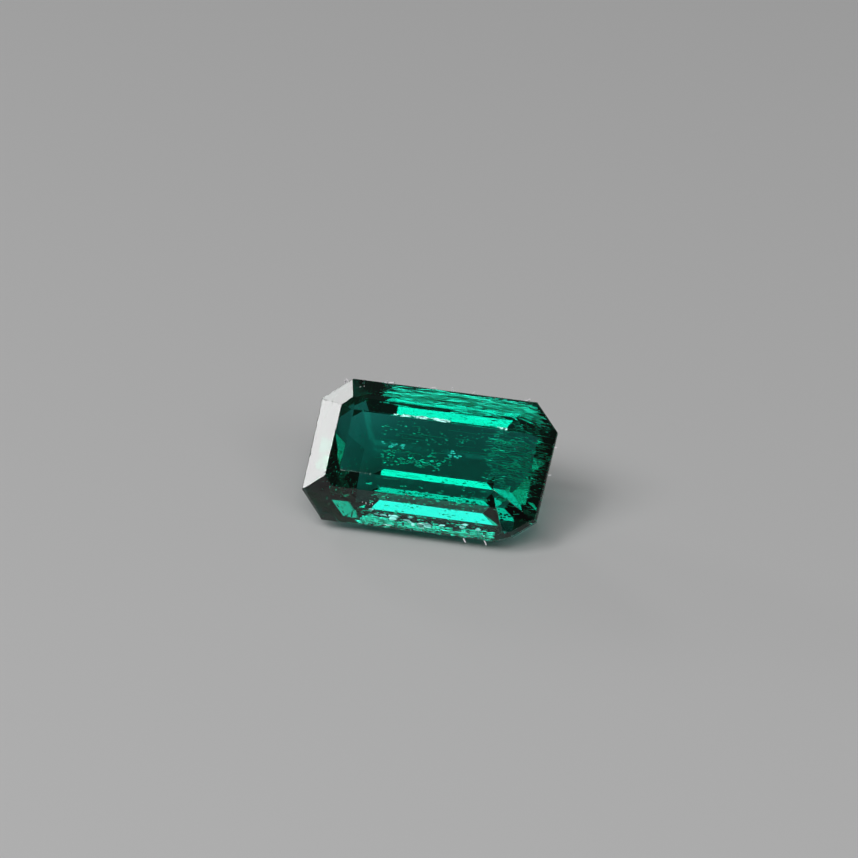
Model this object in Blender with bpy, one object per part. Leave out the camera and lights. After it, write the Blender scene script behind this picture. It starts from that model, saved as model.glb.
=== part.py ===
"""A cut emerald gemstone of the emerald cut, lying on one long facet of its pavilion.

The stone is one crystal. It is made as a cutter makes it: a sawn block is ground flat, one facet
at a time, first the sides of the girdle, then the three tiers of the crown, the table, and the
three tiers of the pavilion, whose two long rows meet in the keel. All lengths are in millimetres in
the stone's own frame, where the table faces +Z and the length runs along X, and the finished mesh
is brought to metres.

In the world the stone rests on the front facet of the pavilion's middle tier. Its length lies along
X, its table faces up and towards -Y, and the origin is the middle of its box on the surface that it
rests on.
"""

import math

import bmesh
import bpy
from mathutils import Matrix, Vector

MM = 0.001

# Driving dimensions, in millimetres and degrees
LENGTH = 8.70
WIDTH = 5.40
CORNER_CUT = 0.92  # along each side, for the four corners at 45 degrees
GIRDLE_THICKNESS = 0.11

# Each tier of the crown is the slope of its facets from the girdle's plane and how far in it runs, seen
# from above. The crown starts with a narrow bevel over the girdle.
CROWN_TIERS = ((62.0, 0.05), (38.0, 0.93), (22.0, 0.55))
# The tiers of the pavilion start at these depths under the girdle, level all round, and the last runs
# on to the keel. Their slopes differ from side to side, and go from the girdle down.
PAVILION_DEPTHS = (0.0, 1.62, 2.52)
LONG_SIDE_SLOPES = (58.0, 43.0, 39.5)
LEFT_END_SLOPES = (66.0, 46.0, 38.0)
RIGHT_END_SLOPES = (64.5, 44.5, 36.5)
CORNER_SLOPES = (57.0, 43.5, 35.0)
RESTING_TIER = 1

# The stone was cut by hand, so each side of the girdle, with the narrow tier on each side of it, is
# turned by this many degrees and lies this many millimetres outside its true place.
SIDE_ERRORS = {
    "right": (-1.0, 0.02),
    "back_right": (-1.9, 0.03),
    "back": (-0.1, 0.02),
    "back_left": (-2.3, -0.02),
    "left": (0.7, 0.01),
    "front_left": (-1.8, 0.0),
    "front": (0.4, -0.01),
    "front_right": (-2.8, -0.12),
}
FRONT_BEVEL_TRIM = 0.05
# A ninth small side takes off the point between the front and the front right corner.
POINT_HEADING = 292.6
POINT_DISTANCE = 3.63

# Rough block that the stone is ground from
BLOCK_MARGIN = 1.0
WELD = 1e-4

EMERALD_GREEN = (0.0, 0.42, 0.24, 1.0)
POLISH_ROUGHNESS = 0.03


def true_sides():
    """Each side of an even stone: its name, its heading in degrees and its distance from the middle."""
    half_length = LENGTH / 2
    half_width = WIDTH / 2
    corner = (half_length + half_width - CORNER_CUT) / math.sqrt(2)
    return (
        ("right", 0.0, half_length),
        ("back_right", 45.0, corner),
        ("back", 90.0, half_width),
        ("back_left", 135.0, corner),
        ("left", 180.0, half_length),
        ("front_left", 225.0, corner),
        ("front", 270.0, half_width),
        ("front_right", 315.0, corner),
    )


def cut_sides():
    """Each side as the girdle was cut, a little out of true."""
    sides = []
    for name, heading, distance in true_sides():
        turn, shift = SIDE_ERRORS[name]
        sides.append((name, heading + turn, distance + shift))
    sides.append(("point", POINT_HEADING, POINT_DISTANCE))
    return sides


def sawn_block():
    """The rough block, larger than the stone on every side."""
    block = bmesh.new()
    bmesh.ops.create_cube(block, size=1.0)
    size = Vector((LENGTH + BLOCK_MARGIN, WIDTH + BLOCK_MARGIN, 2 * WIDTH))
    bmesh.ops.scale(block, vec=size, verts=block.verts)
    return block


def grind_facet(stone, point, normal):
    """Grinds away all that lies beyond the plane through point, and closes the stone with the new facet."""
    everything = stone.verts[:] + stone.edges[:] + stone.faces[:]
    bmesh.ops.bisect_plane(
        stone, geom=everything, dist=WELD, plane_co=point, plane_no=normal, clear_outer=True
    )
    rim = [edge for edge in stone.edges if edge.is_boundary]
    if rim:
        bmesh.ops.holes_fill(stone, edges=rim, sides=0)


def facing(heading, slope, up):
    """Outward normal of a facet that faces a heading and slopes from the girdle's plane."""
    turn = math.radians(heading)
    lean = math.radians(slope)
    return Vector((math.cos(turn) * math.sin(lean), math.sin(turn) * math.sin(lean), up * math.cos(lean)))


def grind_girdle(stone):
    """The upright sides."""
    for _, heading, distance in cut_sides():
        outward = facing(heading, 90.0, 1)
        grind_facet(stone, outward * distance, outward)


def grind_crown(stone):
    """The tiers above the girdle, from its edge inwards, and the table."""
    inset = 0.0
    height = GIRDLE_THICKNESS / 2
    for tier, (slope, run) in enumerate(CROWN_TIERS):
        sides = true_sides() if tier else cut_sides()
        for name, heading, distance in sides:
            outward = facing(heading, 90.0, 1)
            trim = FRONT_BEVEL_TRIM if (name, tier) == ("front", 0) else 0.0
            start = outward * (distance - inset - trim) + Vector((0, 0, height))
            grind_facet(stone, start, facing(heading, slope, 1))
        inset += run
        height += run * math.tan(math.radians(slope))
    grind_facet(stone, Vector((0, 0, height)), Vector((0, 0, 1)))


def slopes_below(name):
    """Slopes of the pavilion's tiers under a side of the girdle."""
    if name in ("front", "back"):
        return LONG_SIDE_SLOPES
    if name == "left":
        return LEFT_END_SLOPES
    if name == "right":
        return RIGHT_END_SLOPES
    return CORNER_SLOPES


def grind_pavilion(stone):
    """The tiers below the girdle, down to the keel."""
    for tier, depth in enumerate(PAVILION_DEPTHS):
        sides = true_sides() if tier else cut_sides()
        for name, heading, distance in sides:
            slopes = slopes_below(name)
            inset = 0.0
            for above in range(tier):
                fall = PAVILION_DEPTHS[above + 1] - PAVILION_DEPTHS[above]
                inset += fall / math.tan(math.radians(slopes[above]))
            outward = facing(heading, 90.0, 1)
            start = outward * (distance - inset) - Vector((0, 0, GIRDLE_THICKNESS / 2 + depth))
            grind_facet(stone, start, facing(heading, slopes[tier], -1))


def cut_emerald():
    """The whole stone in its own frame, in millimetres."""
    stone = sawn_block()
    grind_girdle(stone)
    grind_crown(stone)
    grind_pavilion(stone)
    bmesh.ops.remove_doubles(stone, verts=stone.verts, dist=WELD)
    bmesh.ops.recalc_face_normals(stone, faces=stone.faces)
    return stone


def emerald_material():
    """Polished bluish green crystal."""
    material = bpy.data.materials.new("emerald")
    material.use_nodes = True
    shader = material.node_tree.nodes["Principled BSDF"]
    shader.inputs["Base Color"].default_value = EMERALD_GREEN
    shader.inputs["Roughness"].default_value = POLISH_ROUGHNESS
    shader.inputs["Metallic"].default_value = 0.0
    return material


def lay_on_facet(gem):
    """Tips the stone forward onto its resting facet and centres its box over the origin."""
    tip = Matrix.Rotation(math.radians(LONG_SIDE_SLOPES[RESTING_TIER]), 4, "X")
    corners = [tip @ vertex.co for vertex in gem.data.vertices]
    lowest = Vector([min(corner[axis] for corner in corners) for axis in range(3)])
    highest = Vector([max(corner[axis] for corner in corners) for axis in range(3)])
    gem.rotation_euler = tip.to_euler()
    gem.location = (-(lowest.x + highest.x) / 2, -(lowest.y + highest.y) / 2, -lowest.z)


def main():
    """Clears the scene, cuts the stone and lays it down."""
    for leftover in list(bpy.data.objects):
        bpy.data.objects.remove(leftover)
    stone = cut_emerald()
    bmesh.ops.scale(stone, vec=(MM, MM, MM), verts=stone.verts)
    mesh = bpy.data.meshes.new("emerald")
    stone.to_mesh(mesh)
    stone.free()
    mesh.materials.append(emerald_material())
    gem = bpy.data.objects.new("emerald", mesh)
    bpy.context.scene.collection.objects.link(gem)
    lay_on_facet(gem)


main()
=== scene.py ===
"""A cut emerald gemstone, lying on its pavilion on a pale floor.

The stone keeps the shape of its solid. Its facet edges are eased, its girdle is chipped and frosted,
healed cracks and growth tubes lie inside it, and fibres of lint cling to its rim.

Lengths in the sub-assemblies are in millimetres in the stone's own frame, where the table faces +Z
and the length runs along X. The finished meshes are brought to the world's metres.
"""

import logging
import math
from collections.abc import Iterable
from dataclasses import dataclass
from enum import Enum
from random import Random

import bmesh
import bpy
from bpy.types import Material, Mesh, Node, NodeSocket, NodeTree, Object
from mathutils import Matrix, Vector
from mathutils.bvhtree import BVHTree


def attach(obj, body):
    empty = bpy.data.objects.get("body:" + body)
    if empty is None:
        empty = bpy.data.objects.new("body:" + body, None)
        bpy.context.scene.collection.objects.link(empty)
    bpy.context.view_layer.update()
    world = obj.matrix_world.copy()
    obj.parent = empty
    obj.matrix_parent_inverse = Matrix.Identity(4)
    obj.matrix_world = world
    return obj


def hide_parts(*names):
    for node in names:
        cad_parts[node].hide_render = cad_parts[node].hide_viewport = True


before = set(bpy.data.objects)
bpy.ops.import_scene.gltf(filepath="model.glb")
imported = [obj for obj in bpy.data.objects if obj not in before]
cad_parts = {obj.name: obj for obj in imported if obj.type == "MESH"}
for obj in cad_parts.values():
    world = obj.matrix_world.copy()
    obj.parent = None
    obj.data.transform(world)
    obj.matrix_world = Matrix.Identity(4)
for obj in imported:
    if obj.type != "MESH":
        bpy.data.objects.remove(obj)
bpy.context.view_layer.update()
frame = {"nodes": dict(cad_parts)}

LOG = logging.getLogger("emerald")
MM = 0.001
BODY = "root"
NODE = "emerald"

# In millimetres: corners this close are one, and this far out is well outside the stone
WELD = 1e-3
FAR_OUT = 20.0
# Faces that meet at less than this are one facet, and a normal that leans less than this is level
FLAT_ANGLE = math.radians(0.05)
LEVEL = 1e-3
LIGHT_BOUNCES = 24


class Side(Enum):
    """Where a chip or a grain of dust is reached from: above the crown, or from outside the girdle."""

    CROWN = (0.0, 0.0, 1.0)
    BACK = (0.0, 1.0, 0.0)
    RIGHT = (1.0, 0.0, 0.0)


def link_object(name: str, mesh: Mesh) -> Object:
    """Makes an object of a mesh and puts it in the scene.

    Args:
        name: The piece's name.
        mesh: Its finished mesh.

    Returns:
        The linked object, at the origin.
    """
    piece = bpy.data.objects.new(name, mesh)
    bpy.context.scene.collection.objects.link(piece)
    return piece


def mesh_from(bm: bmesh.types.BMesh, name: str) -> Mesh:
    """Turns a bmesh into a mesh and frees it.

    Args:
        bm: The bmesh.
        name: The mesh's name.

    Returns:
        The new mesh.
    """
    mesh = bpy.data.meshes.new(name)
    bm.to_mesh(mesh)
    bm.free()
    return mesh


def middle_along(vertices: Iterable[bmesh.types.BMVert], axis: Vector) -> float:
    """Finds the middle of the stretch that some vertices cover along an axis.

    Args:
        vertices: The vertices.
        axis: The axis, of length 1.

    Returns:
        The middle, as a distance along the axis.
    """
    reached = [vertex.co.dot(axis) for vertex in vertices]
    return (min(reached) + max(reached)) / 2


@dataclass(frozen=True)
class StoneFrame:
    """The stone's own frame, read from the solid: its place in the world and its surface in millimetres."""

    to_world: Matrix
    solid: bmesh.types.BMesh
    surface: BVHTree

    @classmethod
    def from_node(cls, node: Object) -> "StoneFrame":
        """Reads the frame from the CAD node.

        Args:
            node: The node's object, in metres in the world.

        Returns:
            The frame.
        """
        solid = bmesh.new()
        solid.from_mesh(node.data)
        bmesh.ops.scale(solid, vec=Vector((1, 1, 1)) / MM, verts=solid.verts)
        bmesh.ops.remove_doubles(solid, verts=solid.verts, dist=WELD)
        bmesh.ops.dissolve_limit(solid, angle_limit=FLAT_ANGLE, verts=solid.verts, edges=solid.edges)
        bmesh.ops.recalc_face_normals(solid, faces=solid.faces)
        table = max(solid.faces, key=lambda face: face.calc_area())
        upward = table.normal.copy()
        lengthwise = Vector((1, 0, 0))
        across = upward.cross(lengthwise)
        girdle = [face for face in solid.faces if abs(face.normal.dot(upward)) < LEVEL]
        rim = [vertex for face in girdle for vertex in face.verts]
        centre = (
            lengthwise * middle_along(table.verts, lengthwise)
            + across * middle_along(table.verts, across)
            + upward * middle_along(rim, upward)
        )
        axes = Matrix((lengthwise, across, upward)).transposed().to_4x4()
        placed = Matrix.Translation(centre) @ axes
        bmesh.ops.transform(solid, matrix=placed.inverted(), verts=solid.verts)
        solid.normal_update()
        to_world = Matrix.Scale(MM, 4) @ placed
        return cls(to_world, solid, BVHTree.FromBMesh(solid))

    def surface_point(self, place: Vector, side: Side) -> tuple[Vector, Vector]:
        """Finds the surface straight in from outside.

        Args:
            place: A point on the line that looks in.
            side: The side that the line comes from.

        Returns:
            The point on the surface and its outward normal.
        """
        outward = Vector(side.value)
        start = place + outward * FAR_OUT
        point, normal, _, _ = self.surface.ray_cast(start, -outward)
        return point, normal

    def holds(self, place: Vector, margin: float) -> bool:
        """Says whether a point lies inside the stone, at least margin from every facet."""
        return all((place - face.verts[0].co).dot(face.normal) < -margin for face in self.solid.faces)

    def finish(self, bm: bmesh.types.BMesh, name: str) -> Object:
        """Brings a bmesh in the stone's frame to the world as a finished object.

        Args:
            bm: The bmesh, in millimetres.
            name: The piece's name.

        Returns:
            The linked object.
        """
        bmesh.ops.transform(bm, matrix=self.to_world, verts=bm.verts)
        return link_object(name, mesh_from(bm, name))


class NodeBuilder:
    """Adds nodes to a tree and links them by name."""

    def __init__(self, tree: NodeTree) -> None:
        """Keeps the tree that the nodes go in."""
        self.tree = tree

    def add(self, kind: str, **values: object) -> Node:
        """Adds a node and sets its properties and inputs.

        Args:
            kind: The node's type name without the ShaderNode prefix, or a full name.
            **values: Properties of the node, or input values by their names with _ for a space.

        Returns:
            The node.
        """
        full = kind if kind.startswith("Node") else "ShaderNode" + kind
        node = self.tree.nodes.new(full)
        for key, value in values.items():
            if hasattr(node, key):
                setattr(node, key, value)
            else:
                self.feed(node.inputs[key.replace("_", " ")], value)
        return node

    def feed(self, socket: NodeSocket, value: object) -> None:
        """Sets an input to a value, or links it to another node's output."""
        if isinstance(value, NodeSocket):
            self.tree.links.new(value, socket)
        else:
            socket.default_value = value

    def maths(self, operation: str, first: object, second: object) -> NodeSocket:
        """Adds a Math node.

        Args:
            operation: The node's operation.
            first: Its first input.
            second: Its second input.

        Returns:
            The node's output.
        """
        node = self.add("Math", operation=operation)
        self.feed(node.inputs[0], first)
        self.feed(node.inputs[1], second)
        return node.outputs[0]


@dataclass(frozen=True)
class PolishLines:
    """Thin lines that the polishing left: how fine they are, how they run, and the noise that draws them."""

    fineness: float = 9000.0
    stretch: tuple[float, float, float] = (0.08, 1.0, 1.0)
    turn: tuple[float, float, float] = (0.7, 0.3, 0.2)
    detail: float = 3.0
    roughness: float = 0.6
    edge: tuple[float, float] = (0.66, 0.72)

    def group(self) -> NodeTree:
        """Builds the node group of the lines.

        Returns:
            A group that puts out a mask, 1 on a line and 0 between the lines.
        """
        group = bpy.data.node_groups.new("polish lines", "ShaderNodeTree")
        group.interface.new_socket("Lines", in_out="OUTPUT", socket_type="NodeSocketFloat")
        build = NodeBuilder(group)
        out = build.add("NodeGroupOutput")
        place = build.add("TexCoord").outputs["Object"]
        stretched = build.add("Mapping", Vector=place, Scale=self.stretch, Rotation=self.turn)
        noise = build.add(
            "TexNoise",
            Vector=stretched.outputs[0],
            Scale=self.fineness,
            Detail=self.detail,
            Roughness=self.roughness,
        )
        thin = build.add("MapRange", Value=noise.outputs["Fac"], From_Min=self.edge[0], From_Max=self.edge[1])
        build.feed(out.inputs["Lines"], thin.outputs[0])
        return group


@dataclass(frozen=True)
class CrystalFinish:
    """Polished green beryl: its refraction, its absorption and its wear."""

    ior: float = 1.577
    absorbed: tuple[float, float, float, float] = (0.0, 0.815, 0.771, 1.0)
    density: float = 1243.0
    frost_roughness: float = 0.45
    line_roughness: float = 0.05

    def material(self) -> Material:
        """Builds the crystal's material.

        Returns:
            The material, clear with green absorption, matt where the frost attribute says so.
        """
        material = bpy.data.materials.new("emerald crystal")
        material.use_nodes = True
        build = NodeBuilder(material.node_tree)
        shader = material.node_tree.nodes["Principled BSDF"]
        output = material.node_tree.nodes["Material Output"]
        shader.inputs["Base Color"].default_value = (1.0, 1.0, 1.0, 1.0)
        shader.inputs["IOR"].default_value = self.ior
        shader.inputs["Transmission Weight"].default_value = 1.0
        frost = build.add("Attribute", attribute_name="frost").outputs["Fac"]
        lines = build.add("Group", node_tree=PolishLines().group())
        worn = build.maths("MULTIPLY", lines.outputs["Lines"], self.line_roughness)
        matt = build.maths("MULTIPLY", frost, self.frost_roughness)
        build.feed(shader.inputs["Roughness"], build.maths("MAXIMUM", worn, matt))
        volume = build.add("VolumeAbsorption", Color=self.absorbed, Density=self.density)
        build.feed(output.inputs["Volume"], volume.outputs[0])
        return material


@dataclass(frozen=True)
class Chip:
    """One scoop out of the stone: where it is, how long, wide and deep it is, and how it is turned."""

    x: float
    y: float
    length: float
    width: float
    depth: float
    side: Side
    turn: float


@dataclass
class Crystal:
    """The cut stone itself, with eased edges, a frosted girdle and chips."""

    frame: StoneFrame
    edge_ease: float = 0.008
    girdle_frost: float = 0.5
    chip_frost: float = 1.0
    chip_unevenness: float = 0.12
    seed: int = 11
    chips: tuple[Chip, ...] = (
        Chip(-1.85, -2.61, 0.34, 0.16, 0.05, Side.CROWN, 0.1),
        Chip(-1.45, -2.63, 0.16, 0.10, 0.035, Side.CROWN, -0.3),
        Chip(-0.62, -2.62, 0.24, 0.14, 0.05, Side.CROWN, 0.2),
        Chip(-0.08, -2.65, 0.20, 0.10, 0.03, Side.CROWN, 0.0),
        Chip(0.40, -2.66, 0.26, 0.10, 0.03, Side.CROWN, 0.1),
        Chip(0.88, -2.66, 0.18, 0.10, 0.03, Side.CROWN, -0.1),
        Chip(2.43, -2.58, 0.42, 0.16, 0.06, Side.CROWN, 0.05),
        Chip(-2.95, 2.55, 0.22, 0.10, 0.03, Side.CROWN, 0.2),
        Chip(1.9, 2.62, 0.2, 0.08, 0.025, Side.CROWN, 0.0),
        Chip(3.38, -2.38, 0.2, 0.12, 0.04, Side.CROWN, 0.6),
        Chip(4.34, -0.9, 0.16, 0.1, 0.03, Side.CROWN, 1.5),
        Chip(-4.3, -0.4, 0.18, 0.08, 0.025, Side.CROWN, 1.5),
        Chip(0.0, 1.18, 0.28, 0.16, 0.07, Side.RIGHT, 0.0),
        Chip(-1.67, -1.175, 0.14, 0.05, 0.015, Side.CROWN, 0.0),
        Chip(0.0, -0.6, 0.16, 0.1, 0.03, Side.RIGHT, 0.3),
        Chip(-1.9, 0.0, 0.2, 0.1, 0.03, Side.BACK, 0.0),
        Chip(0.9, 0.0, 0.3, 0.12, 0.04, Side.BACK, 0.0),
        Chip(2.6, 0.0, 0.16, 0.09, 0.03, Side.BACK, 0.0),
    )

    def shape(self) -> bmesh.types.BMesh:
        """Eases the solid's edges and marks the girdle as frosted.

        Returns:
            The stone's bmesh in its own frame.
        """
        bm = self.frame.solid.copy()
        frost = bm.faces.layers.float.new("frost")
        for face in bm.faces:
            face[frost] = self.girdle_frost if abs(face.normal.z) < LEVEL else 0.0
        bmesh.ops.bevel(
            bm,
            geom=bm.edges[:],
            offset=self.edge_ease,
            offset_type="OFFSET",
            affect="EDGES",
            segments=1,
            profile=0.5,
            material=-1,
            clamp_overlap=True,
        )
        return bm

    def scoops(self) -> bmesh.types.BMesh:
        """Makes the cutter of every chip.

        Returns:
            One bmesh that holds all the scoops.
        """
        rng = Random(self.seed)
        bm = bmesh.new()
        for chip in self.chips:
            point, normal = self.frame.surface_point(Vector((chip.x, chip.y, 0.0)), chip.side)
            made = bmesh.ops.create_icosphere(bm, subdivisions=2, radius=1.0)["verts"]
            for vertex in made:
                vertex.co *= 1.0 + rng.uniform(-self.chip_unevenness, self.chip_unevenness)
            size = Matrix.Diagonal((chip.length / 2, chip.width / 2, chip.width / 2, 1.0))
            facing = normal.to_track_quat("Z", "X").to_matrix().to_4x4()
            turned = Matrix.Rotation(chip.turn, 4, "Z")
            out_by = chip.width / 2 - chip.depth
            place = Matrix.Translation(point + normal * out_by) @ facing @ turned @ size
            bmesh.ops.transform(bm, matrix=place, verts=made)
        return bm

    def build(self) -> Object:
        """Cuts the chips out of the eased stone and dresses it.

        Returns:
            The finished stone.
        """
        stone = link_object("stone", mesh_from(self.shape(), "stone"))
        cutter = link_object("scoops", mesh_from(self.scoops(), "scoops"))
        cutter.data.attributes.new("frost", "FLOAT", "FACE")
        frosted = [self.chip_frost] * len(cutter.data.polygons)
        cutter.data.attributes["frost"].data.foreach_set("value", frosted)
        cut = stone.modifiers.new("chips", "BOOLEAN")
        cut.operation = "DIFFERENCE"
        cut.solver = "EXACT"
        cut.use_self = True
        cut.object = cutter
        bpy.context.view_layer.update()
        graph = bpy.context.evaluated_depsgraph_get()
        chipped = bpy.data.meshes.new_from_object(stone.evaluated_get(graph))
        bpy.data.objects.remove(cutter)
        bpy.data.objects.remove(stone)
        bm = bmesh.new()
        bm.from_mesh(chipped)
        piece = self.frame.finish(bm, "emerald_crystal")
        piece.data.materials.clear()
        piece.data.materials.append(CrystalFinish().material())
        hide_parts(NODE)
        return piece


class Lie(Enum):
    """How the flakes of a cloud lie, in degrees.

    Each value holds the most that a flake turns from the length, the most that it tips lengthwise, and how
    far the whole cloud tips to the right end.
    """

    LENGTHWISE = (8.0, 6.0, 0.0)
    RIGHT_END = (8.0, 8.0, 15.0)
    STREWN = (70.0, 50.0, 0.0)


@dataclass(frozen=True)
class Cloud:
    """One patch of flakes along a healed crack.

    It holds the middle and the reach, the number of flakes, their lengths and widths, how far they tip from
    the table's plane to the front and the scatter of that in degrees, how they lie, and how clear they are.
    """

    middle: tuple[float, float, float]
    reach: tuple[float, float, float]
    count: int
    lengths: tuple[float, float]
    widths: tuple[float, float] = (0.03, 0.07)
    tip: float = 8.0
    scatter: float = 12.0
    lie: Lie = Lie.LENGTHWISE
    clear: float = 0.0


@dataclass(frozen=True)
class FilmFinish:
    """A thin film of fluid in a healed crack, which throws light back like a mirror."""

    green: tuple[float, float, float, float] = (0.04, 0.98, 0.68, 1.0)
    clear: tuple[float, float, float, float] = (0.6, 1.0, 0.94, 1.0)
    roughness: float = 0.33

    def material(self) -> Material:
        """Builds the film's material.

        Returns:
            The material, green where the clear attribute is 0.
        """
        material = bpy.data.materials.new("healed crack film")
        material.use_nodes = True
        build = NodeBuilder(material.node_tree)
        shader = material.node_tree.nodes["Principled BSDF"]
        tint = build.add("Mix", data_type="RGBA")
        build.feed(tint.inputs[0], build.add("Attribute", attribute_name="clear").outputs["Fac"])
        build.feed(tint.inputs[6], self.green)
        build.feed(tint.inputs[7], self.clear)
        build.feed(shader.inputs["Base Color"], tint.outputs[2])
        shader.inputs["Metallic"].default_value = 1.0
        shader.inputs["Roughness"].default_value = self.roughness
        return material


@dataclass
class Inclusions:
    """Healed cracks and growth tubes inside the crystal."""

    frame: StoneFrame
    margin: float = 0.06
    flake_thickness: float = 0.012
    flake_unevenness: float = 0.2
    flake_seed: int = 5
    tube_radius: tuple[float, float] = (0.005, 0.011)
    tube_sides: int = 5
    tube_taper: float = 0.6
    tube_steadiness: float = 4.0
    tube_seed: int = 6
    clouds: tuple[Cloud, ...] = (
        Cloud((0.4, 0.9, -0.5), (2.3, 0.45, 0.35), 110, (0.04, 0.14), (0.015, 0.04), 8.0, 14.0),
        Cloud((-0.5, 0.1, -0.7), (1.3, 0.3, 0.3), 60, (0.06, 0.2), (0.02, 0.05), 9.0, 12.0),
        Cloud((-0.6, -0.2, -0.5), (1.1, 0.22, 0.25), 75, (0.06, 0.2), (0.03, 0.06), 10.0, 8.0),
        Cloud((-1.35, 0.34, -0.3), (0.4, 0.1, 0.12), 12, (0.08, 0.2), (0.05, 0.08), 10.0, 2.0, clear=0.9),
        Cloud((1.05, 0.24, -0.3), (0.35, 0.12, 0.1), 9, (0.08, 0.2), (0.05, 0.08), 10.0, 2.0, clear=0.9),
        Cloud((-0.3, 1.2, 1.0), (1.0, 0.03, 0.01), 34, (0.1, 0.5), (0.03, 0.07), 2.0, 2.0, clear=1.0),
        Cloud((2.65, 1.2, 1.0), (0.22, 0.03, 0.01), 7, (0.08, 0.2), (0.03, 0.07), 2.0, 2.0, clear=1.0),
        Cloud((0.4, -2.3, 0.02), (2.2, 0.2, 0.1), 26, (0.12, 0.36), (0.06, 0.12), 25.0, 4.0, clear=1.0),
        Cloud((0.2, -1.2, -0.4), (2.2, 0.4, 0.35), 110, (0.06, 0.2), (0.02, 0.05), 9.0, 13.0),
        Cloud((3.1, 0.4, -0.2), (0.9, 1.3, 0.6), 420, (0.06, 0.3), (0.012, 0.03), 12.0, 12.0),
        Cloud((3.6, 0.1, -0.1), (0.5, 1.7, 0.4), 40, (0.06, 0.3), (0.012, 0.03), 12.0, 8.0, Lie.RIGHT_END),
        Cloud((1.1, 2.18, -0.1), (2.9, 0.45, 0.2), 460, (0.2, 1.2), (0.03, 0.09), -5.0, 7.0),
        Cloud((0.3, -2.0, -0.3), (2.3, 0.3, 0.2), 100, (0.06, 0.22), (0.02, 0.06), 24.0, 12.0),
        Cloud((0.5, -2.42, -0.12), (2.5, 0.16, 0.14), 330, (0.1, 0.4), (0.03, 0.08), 24.0, 7.0),
        Cloud((-2.9, -0.8, -0.6), (0.7, 0.9, 0.5), 30, (0.03, 0.09), (0.02, 0.04), 20.0, 60.0, Lie.STREWN),
        Cloud((0.0, 0.0, -1.2), (3.4, 2.0, 0.8), 120, (0.03, 0.09), (0.02, 0.04), 10.0, 60.0, Lie.STREWN),
    )
    tube_clouds: tuple[Cloud, ...] = (
        Cloud((1.1, 2.1, -0.2), (2.8, 0.3, 0.3), 130, (0.3, 1.6)),
        Cloud((3.0, 0.4, -0.2), (0.9, 1.2, 0.5), 110, (0.2, 0.7)),
        Cloud((0.8, 0.6, -0.6), (2.6, 0.9, 0.5), 26, (0.3, 1.2)),
    )

    def place(self, rng: Random, cloud: Cloud, half: float) -> Vector | None:
        """Picks a place in a cloud that lies inside the stone.

        Args:
            rng: The source of chance.
            cloud: The cloud.
            half: Half the length of what is placed.

        Returns:
            The place, or None where the pick falls outside.
        """
        spot = Vector(rng.gauss(at, reach / 2) for at, reach in zip(cloud.middle, cloud.reach))
        spot.x = cloud.middle[0] + rng.uniform(-1, 1) * cloud.reach[0]
        ends = (spot - Vector((half, 0, 0)), spot + Vector((half, 0, 0)))
        return spot if all(self.frame.holds(end, self.margin) for end in ends) else None

    def flakes(self) -> bmesh.types.BMesh:
        """Strews the clouds' flakes.

        Returns:
            One bmesh of all the flakes.
        """
        rng = Random(self.flake_seed)
        bm = bmesh.new()
        clear = bm.faces.layers.float.new("clear")
        for cloud in self.clouds:
            for _ in range(cloud.count):
                length = rng.uniform(*cloud.lengths)
                spot = self.place(rng, cloud, length / 2)
                if spot is None:
                    continue
                most_yaw, most_pitch, lean = cloud.lie.value
                yaw = math.radians(rng.uniform(-most_yaw, most_yaw))
                pitch = math.radians(lean + rng.uniform(-most_pitch, most_pitch))
                roll = math.radians(rng.gauss(cloud.tip, cloud.scatter))
                made = bmesh.ops.create_icosphere(bm, subdivisions=1, radius=0.5)["verts"]
                for face in {face for vertex in made for face in vertex.link_faces}:
                    face[clear] = cloud.clear
                for vertex in made:
                    vertex.co *= 1.0 + rng.uniform(-self.flake_unevenness, self.flake_unevenness)
                size = Matrix.Diagonal((length, rng.uniform(*cloud.widths), self.flake_thickness, 1.0))
                tipped = Matrix.Rotation(pitch, 4, "Y") @ Matrix.Rotation(roll, 4, "X")
                turned = Matrix.Rotation(yaw, 4, "Z") @ tipped
                bmesh.ops.transform(bm, matrix=Matrix.Translation(spot) @ turned @ size, verts=made)
        return bm

    def tubes(self) -> bmesh.types.BMesh:
        """Draws the growth tubes, which all run along the length.

        Returns:
            One bmesh of all the tubes.
        """
        rng = Random(self.tube_seed)
        bm = bmesh.new()
        for cloud in self.tube_clouds:
            for _ in range(cloud.count):
                length = rng.uniform(*cloud.lengths)
                spot = self.place(rng, cloud, length / 2)
                if spot is None:
                    continue
                radius = rng.uniform(*self.tube_radius)
                made = bmesh.ops.create_cone(
                    bm,
                    cap_ends=True,
                    segments=self.tube_sides,
                    radius1=radius,
                    radius2=radius * self.tube_taper,
                    depth=length,
                )["verts"]
                yaw, pitch = (
                    math.radians(rng.uniform(-most, most)) / self.tube_steadiness
                    for most in cloud.lie.value[:2]
                )
                turned = Matrix.Rotation(yaw, 4, "Z") @ Matrix.Rotation(math.pi / 2 + pitch, 4, "Y")
                bmesh.ops.transform(bm, matrix=Matrix.Translation(spot) @ turned, verts=made)
        return bm

    def build(self) -> list[Object]:
        """Builds the flakes and the tubes.

        Returns:
            The two pieces.
        """
        material = FilmFinish().material()
        pieces = [
            self.frame.finish(self.flakes(), "healed_cracks"),
            self.frame.finish(self.tubes(), "growth_tubes"),
        ]
        for piece in pieces:
            piece.data.materials.append(material)
        return pieces


@dataclass(frozen=True)
class Fibre:
    """One thread of lint: where it clings, how it heads, its length, its curl in degrees and its radius."""

    root: tuple[float, float, float]
    heading: tuple[float, float, float]
    length: float
    curl: float
    radius: float


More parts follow.
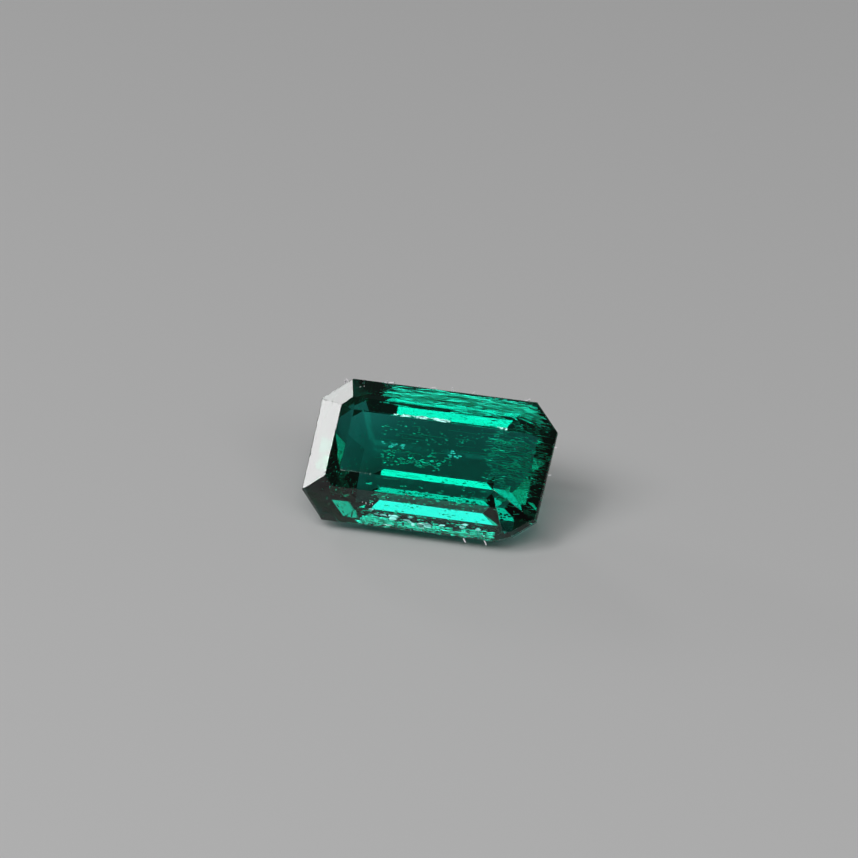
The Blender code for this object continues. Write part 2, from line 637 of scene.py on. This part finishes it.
@dataclass(frozen=True)
class LintFinish:
    """Pale matt textile fibre."""

    colour: tuple[float, float, float, float] = (0.92, 0.88, 0.92, 1.0)
    roughness: float = 0.8

    def material(self) -> Material:
        """Builds the lint's material.

        Returns:
            The material.
        """
        material = bpy.data.materials.new("lint")
        material.use_nodes = True
        shader = material.node_tree.nodes["Principled BSDF"]
        shader.inputs["Base Color"].default_value = self.colour
        shader.inputs["Roughness"].default_value = self.roughness
        return material


@dataclass
class Lint:
    """Fibres that cling to the rim and dust on the facets.

    A grain of dust is its place in x and y and its length.
    """

    frame: StoneFrame
    steps: int = 6
    sides: int = 6
    bend_towards: tuple[float, float, float] = (0.2, 0.3, 1.0)
    grain_shape: tuple[float, float, float] = (1.0, 0.35, 0.3)
    grain_unevenness: float = 0.25
    grain_turn: float = 0.5
    seed: int = 8
    fibres: tuple[Fibre, ...] = (
        Fibre((-2.24, 2.71, 0.05), (1.0, 0.05, 0.1), 0.38, 12.0, 0.0448),
        Fibre((-2.16, 2.71, 0.06), (0.6, 0.1, 0.7), 0.16, 70.0, 0.0288),
        Fibre((-3.72, 2.56, -0.04), (0.3, 0.6, 0.5), 0.16, 90.0, 0.0256),
        Fibre((-3.60, 2.62, -0.02), (-0.4, 0.5, 0.4), 0.14, -60.0, 0.0224),
        Fibre((-1.02, 2.71, 0.03), (0.9, 0.1, 0.5), 0.17, 60.0, 0.0256),
        Fibre((-0.55, 2.71, 0.03), (0.8, 0.3, 0.5), 0.22, -50.0, 0.0272),
        Fibre((0.30, 2.71, 0.02), (-0.12, 0.75, 0.55), 0.17, 25.0, 0.0272),
        Fibre((0.33, 2.71, 0.02), (0.6, 0.3, 0.5), 0.11, 25.0, 0.0224),
        Fibre((1.03, 2.71, 0.02), (0.5, 0.5, 0.6), 0.15, -30.0, 0.024),
        Fibre((2.98, 2.71, 0.03), (1.0, 0.1, 0.3), 0.24, 40.0, 0.0352),
        Fibre((4.36, 0.07, -0.04), (0.9, 0.1, -0.3), 0.12, 40.0, 0.0208),
        Fibre((4.36, 1.10, -0.04), (0.8, 0.4, 0.2), 0.12, -40.0, 0.0208),
        Fibre((1.86, -2.70, -0.04), (0.5, -0.75, -0.35), 0.17, 35.0, 0.0224),
        Fibre((2.62, -2.68, -0.04), (0.6, -0.7, -0.3), 0.17, -35.0, 0.0224),
    )
    grains: tuple[tuple[float, float, float], ...] = (
        (-1.87, -2.08, 0.06),
        (-1.74, -2.10, 0.09),
        (-1.60, -2.12, 0.05),
        (-1.50, -2.10, 0.07),
        (-0.30, -1.69, 0.05),
        (-0.22, -1.72, 0.04),
        (-2.98, 2.30, 0.10),
        (-2.86, 2.36, 0.08),
        (1.55, 2.35, 0.05),
        (2.2, -1.9, 0.04),
        (-0.9, 1.9, 0.04),
        (3.3, 0.6, 0.05),
    )

    def draw(self, bm: bmesh.types.BMesh, fibre: Fibre) -> None:
        """Draws one fibre as a round thread that curls evenly.

        Args:
            bm: The bmesh that it goes in.
            fibre: The fibre.
        """
        heading = Vector(fibre.heading).normalized()
        bend_axis = heading.cross(Vector(self.bend_towards)).normalized()
        turn = Matrix.Rotation(math.radians(fibre.curl) / self.steps, 3, bend_axis)
        ring = bmesh.ops.create_circle(
            bm, cap_ends=True, segments=self.sides, radius=fibre.radius
        )["verts"]
        facing = heading.to_track_quat("Z", "X").to_matrix().to_4x4()
        middle = Vector(fibre.root)
        bmesh.ops.transform(bm, matrix=Matrix.Translation(middle) @ facing, verts=ring)
        cap = ring[0].link_faces[0]
        for drawn in range(self.steps):
            made = bmesh.ops.extrude_face_region(bm, geom=[cap])["geom"]
            # The cap drawn out from is the thread's own end at first, and lies inside it after that
            if drawn:
                bmesh.ops.delete(bm, geom=[cap], context="FACES_ONLY")
            cap = next(part for part in made if isinstance(part, bmesh.types.BMFace))
            step = heading * fibre.length / self.steps
            middle = middle + step
            bmesh.ops.translate(bm, vec=step, verts=cap.verts)
            bmesh.ops.rotate(bm, cent=middle, matrix=turn, verts=cap.verts)
            heading = turn @ heading

    def build(self) -> Object:
        """Draws the fibres and strews the dust.

        Returns:
            The lint, one piece.
        """
        rng = Random(self.seed)
        bm = bmesh.new()
        for fibre in self.fibres:
            self.draw(bm, fibre)
        for x, y, size in self.grains:
            point, normal = self.frame.surface_point(Vector((x, y, 0.0)), Side.CROWN)
            made = bmesh.ops.create_icosphere(bm, subdivisions=1, radius=0.5)["verts"]
            for vertex in made:
                vertex.co *= 1.0 + rng.uniform(-self.grain_unevenness, self.grain_unevenness)
            facing = normal.to_track_quat("Z", "X").to_matrix().to_4x4()
            turned = Matrix.Rotation(rng.uniform(-self.grain_turn, self.grain_turn), 4, "Z")
            scaled = Matrix.Diagonal((*(size * share for share in self.grain_shape), 1.0))
            place = Matrix.Translation(point) @ facing @ turned @ scaled
            bmesh.ops.transform(bm, matrix=place, verts=made)
        bmesh.ops.recalc_face_normals(bm, faces=bm.faces)
        piece = self.frame.finish(bm, "lint")
        piece.data.materials.append(LintFinish().material())
        return piece


@dataclass(frozen=True)
class Panel:
    """One soft light: the sky it covers, in degrees from +Y towards -X and up from level, and its light."""

    name: str
    azimuth: tuple[float, float]
    elevation: tuple[float, float]
    radiance: float


@dataclass
class Studio:
    """The pale floor, the soft panels all round and the camera."""

    frame: StoneFrame
    floor_grey: float = 0.7
    floor_roughness: float = 0.5
    floor_reach: float = 2.0
    world_strength: float = 0.05
    panel_distance: float = 0.5
    camera_rise: float = 25.5
    camera_turn: float = 16.8
    camera_distance: float = 174.3
    camera_aim: tuple[float, float] = (0.0054, 1.134)
    field_angle: float = 10.0
    sensor_width: float = 36.0
    clip_start: float = 0.01
    panels: tuple[Panel, ...] = (
        Panel("front left softbox", (125.0, 155.0), (35.0, 53.0), 4.0),
        Panel("front softbox", (155.0, 185.0), (35.0, 53.0), 5.0),
        Panel("front right softbox", (185.0, 215.0), (35.0, 53.0), 5.0),
        Panel("front top light", (140.0, 160.0), (53.0, 60.0), 8.0),
        Panel("left top light", (118.0, 128.0), (60.0, 72.0), 8.0),
        Panel("right softbox", (215.0, 240.0), (25.0, 40.0), 3.0),
        Panel("left strip", (65.0, 77.0), (5.0, 13.0), 8.0),
        Panel("back top light", (20.0, 32.0), (53.0, 60.0), 3.0),
        Panel("back low light", (35.0, 47.0), (16.0, 25.0), 5.0),
    )

    def build(self) -> None:
        """Builds the floor, the lights and the camera."""
        self.floor()
        self.world()
        for panel in self.panels:
            self.hang(panel)
        self.camera()

    def floor(self) -> None:
        """Lays the pale floor that the stone rests on."""
        bm = bmesh.new()
        bmesh.ops.create_grid(bm, x_segments=1, y_segments=1, size=self.floor_reach)
        floor = link_object("floor", mesh_from(bm, "floor"))
        material = bpy.data.materials.new("floor")
        material.use_nodes = True
        shader = material.node_tree.nodes["Principled BSDF"]
        shader.inputs["Base Color"].default_value = (*[self.floor_grey] * 3, 1.0)
        shader.inputs["Roughness"].default_value = self.floor_roughness
        floor.data.materials.append(material)

    def world(self) -> None:
        """Fills the room with faint even light."""
        world = bpy.data.worlds.new("room")
        world.use_nodes = True
        background = world.node_tree.nodes["Background"]
        background.inputs["Color"].default_value = (1.0, 1.0, 1.0, 1.0)
        background.inputs["Strength"].default_value = self.world_strength
        bpy.context.scene.world = world

    def hang(self, panel: Panel) -> None:
        """Hangs one panel so that it faces the stone.

        Args:
            panel: The panel.
        """
        spread = [math.radians(end - start) for start, end in (panel.azimuth, panel.elevation)]
        turn, rise = (math.radians(sum(ends) / 2) for ends in (panel.azimuth, panel.elevation))
        away = Vector((-math.sin(turn) * math.cos(rise), math.cos(turn) * math.cos(rise), math.sin(rise)))
        light = bpy.data.lights.new(panel.name, "AREA")
        light.shape = "RECTANGLE"
        light.size = 2 * self.panel_distance * math.tan(spread[0] / 2) * math.cos(rise)
        light.size_y = 2 * self.panel_distance * math.tan(spread[1] / 2)
        light.energy = panel.radiance * light.size * light.size_y * math.pi
        lamp = bpy.data.objects.new(panel.name, light)
        bpy.context.scene.collection.objects.link(lamp)
        stand = self.frame.to_world.translation + away * self.panel_distance
        lamp.matrix_world = Matrix.Translation(stand) @ away.to_track_quat("Z", "Y").to_matrix().to_4x4()
        lamp.visible_camera = False

    def camera(self) -> None:
        """Stands the camera at the photograph's viewing angle."""
        rise, turn = math.radians(self.camera_rise), math.radians(self.camera_turn)
        back = Vector((math.sin(turn) * math.cos(rise), -math.cos(turn) * math.cos(rise), math.sin(rise)))
        right = Vector((math.cos(turn), math.sin(turn), 0.0))
        up = back.cross(right)
        data = bpy.data.cameras.new("camera")
        data.sensor_width = self.sensor_width
        data.lens = self.sensor_width / 2 / math.tan(math.radians(self.field_angle) / 2)
        data.clip_start = self.clip_start
        camera = bpy.data.objects.new("camera", data)
        bpy.context.scene.collection.objects.link(camera)
        aside, above = self.camera_aim
        target = self.frame.to_world.translation + (up * above + right * aside) * MM
        place = target + back * self.camera_distance * MM
        axes = Matrix((right, up, back)).transposed().to_4x4()
        camera.matrix_world = Matrix.Translation(place) @ axes
        bpy.context.scene.camera = camera


def main() -> None:
    """Builds every piece in order."""
    logging.basicConfig(level=logging.INFO, format="%(message)s")
    stone_frame = StoneFrame.from_node(frame["nodes"][NODE])
    crystal = Crystal(stone_frame).build()
    inclusions = Inclusions(stone_frame).build()
    lint = Lint(stone_frame).build()
    for piece in (crystal, *inclusions, lint):
        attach(piece, BODY)
        LOG.info("%s: %d faces", piece.name, len(piece.data.polygons))
    Studio(stone_frame).build()
    scene = bpy.context.scene
    scene.cycles.max_bounces = LIGHT_BOUNCES
    scene.cycles.transmission_bounces = LIGHT_BOUNCES
    scene.cycles.glossy_bounces = LIGHT_BOUNCES
    scene.view_settings.view_transform = "Standard"


if __name__ == "__main__":
    main()
